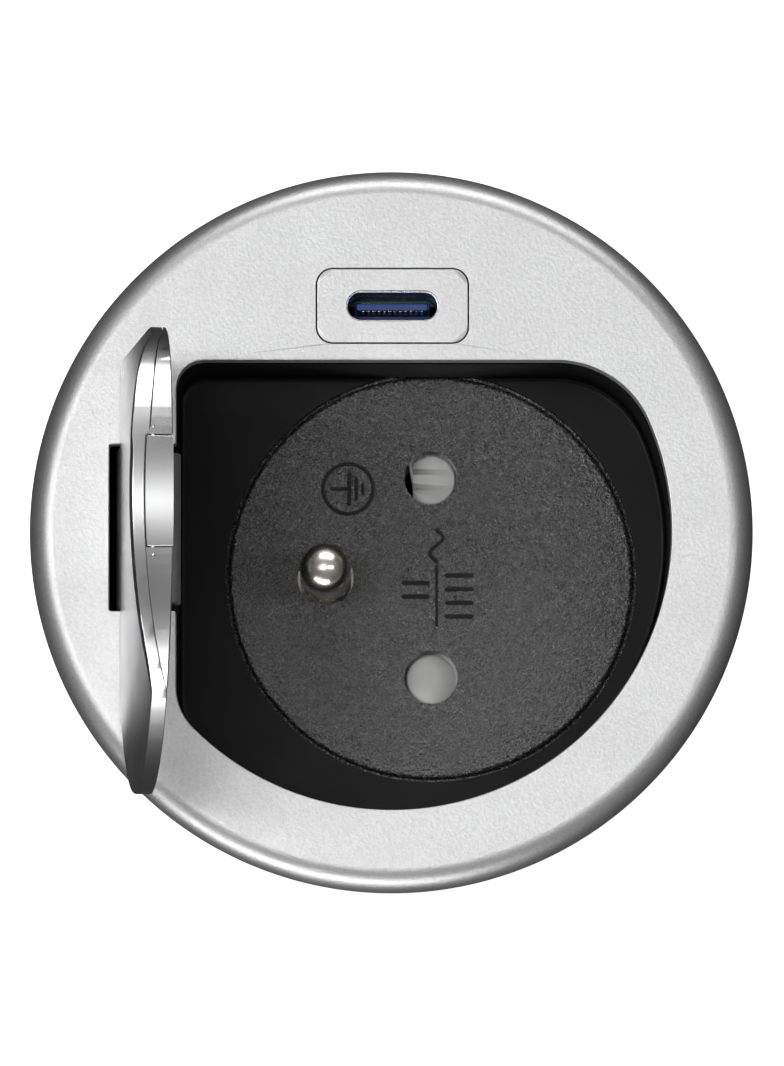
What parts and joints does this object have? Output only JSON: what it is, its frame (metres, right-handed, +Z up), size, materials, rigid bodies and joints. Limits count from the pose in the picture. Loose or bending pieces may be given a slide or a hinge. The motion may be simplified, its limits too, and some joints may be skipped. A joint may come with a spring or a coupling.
{
  "type": "desk grommet",
  "caption": "Round powered desk grommet with a hinged lid over a D-shaped plug well, a flush charging port and a threaded body clamped by a nut under the desk.",
  "frame": {"origin": "centre of the bezel in the plane of the desk top, which is the underside of the bezel's rim", "axes": "+Z up out of the desk, +X from the lid's hinge towards its free edge, +Y towards the charging port"},
  "size_m": [0.068, 0.068, 0.1054],
  "materials": {
    "silver_paint": "satin metallic lacquer with a fine grain",
    "lid_silver": "gloss",
    "black_plastic": "satin",
    "socket_black": "coarse eroded grain",
    "shutter_white": "satin",
    "brass": "polished",
    "earth_metal": "nickel plated, polished",
    "steel": "bright",
    "foam": "closed cell foam",
    "port_blue": "satin",
    "board_green": "solder mask",
    "transformer_tape": "tape"
  },
  "bodies": {
    "housing": {"bezel": "silver_paint", "flange_gasket": "foam", "usb_panel": "silver_paint", "usb_shell": "steel", "usb_tongue": "port_blue", "charger_board": "board_green", "charger_transformer": "transformer_tape", "charger_case": "black_plastic", "well_liner": "black_plastic", "socket_face": "socket_black", "earth_pin": "earth_metal", "shutter_spring": "steel", "contact_base": "black_plastic", "contact_upper": "brass", "contact_lower": "brass", "terminal_screw_1": "steel", "terminal_screw_2": "steel", "terminal_screw_3": "steel", "body_sleeve": "black_plastic", "base_cover": "black_plastic", "cover_screw_1": "steel", "cover_screw_2": "steel", "cover_screw_3": "steel", "cable_inlet": "black_plastic", "bezel_screw_1": "steel", "bezel_screw_2": "steel", "bezel_screw_3": "steel", "hinge_pin": "steel"},
    "lid": {"lid_shell": "lid_silver", "lid_cheek_upper": "silver_paint", "lid_cheek_lower": "silver_paint", "hinge_block": "silver_paint", "flap_pin": "steel", "lid_screw_1": "steel", "lid_screw_2": "steel"},
    "flap": {"cable_flap": "silver_paint"},
    "rotary_shutter": {"shutter": "shutter_white"},
    "ring": {"pressure_ring": "black_plastic"},
    "nut": {"clamp_nut": "black_plastic"}
  },
  "joints": [
    {"name": "lid_hinge", "type": "hinge", "parent": "housing", "child": "lid", "pos_m": [-0.023, 0.00025, 0.00026], "axis": [0, -1, 0], "range_deg": [-85, 10]},
    {"name": "flap_hinge", "type": "hinge", "parent": "lid", "child": "flap", "pos_m": [-0.02184, 0, 0.04844], "axis": [0, 1, 0], "range_deg": [0, 55], "stiffness_Nm_per_rad": 0.0002, "springref_deg": -17.19},
    {"name": "shutter_turn", "type": "hinge", "parent": "housing", "child": "rotary_shutter", "pos_m": [0.0038, -0.0031, -0.0193], "axis": [0, 0, 1], "range_deg": [-37, 0], "stiffness_Nm_per_rad": 0.005, "springref_deg": 17.19},
    {"name": "ring_slide", "type": "slide", "parent": "housing", "child": "ring", "axis": [0, 0, 1], "range_m": [-0.006, 0.018]},
    {"name": "nut_spin", "type": "hinge", "parent": "ring", "child": "nut", "pos_m": [0, 0, -0.034], "axis": [0, 0, 1], "range_deg": [-545, 1625]}
  ],
  "couplings": [
    {"joint": "nut_spin", "follows": "ring_slide", "rad_per_m": 1570.8}
  ]
}
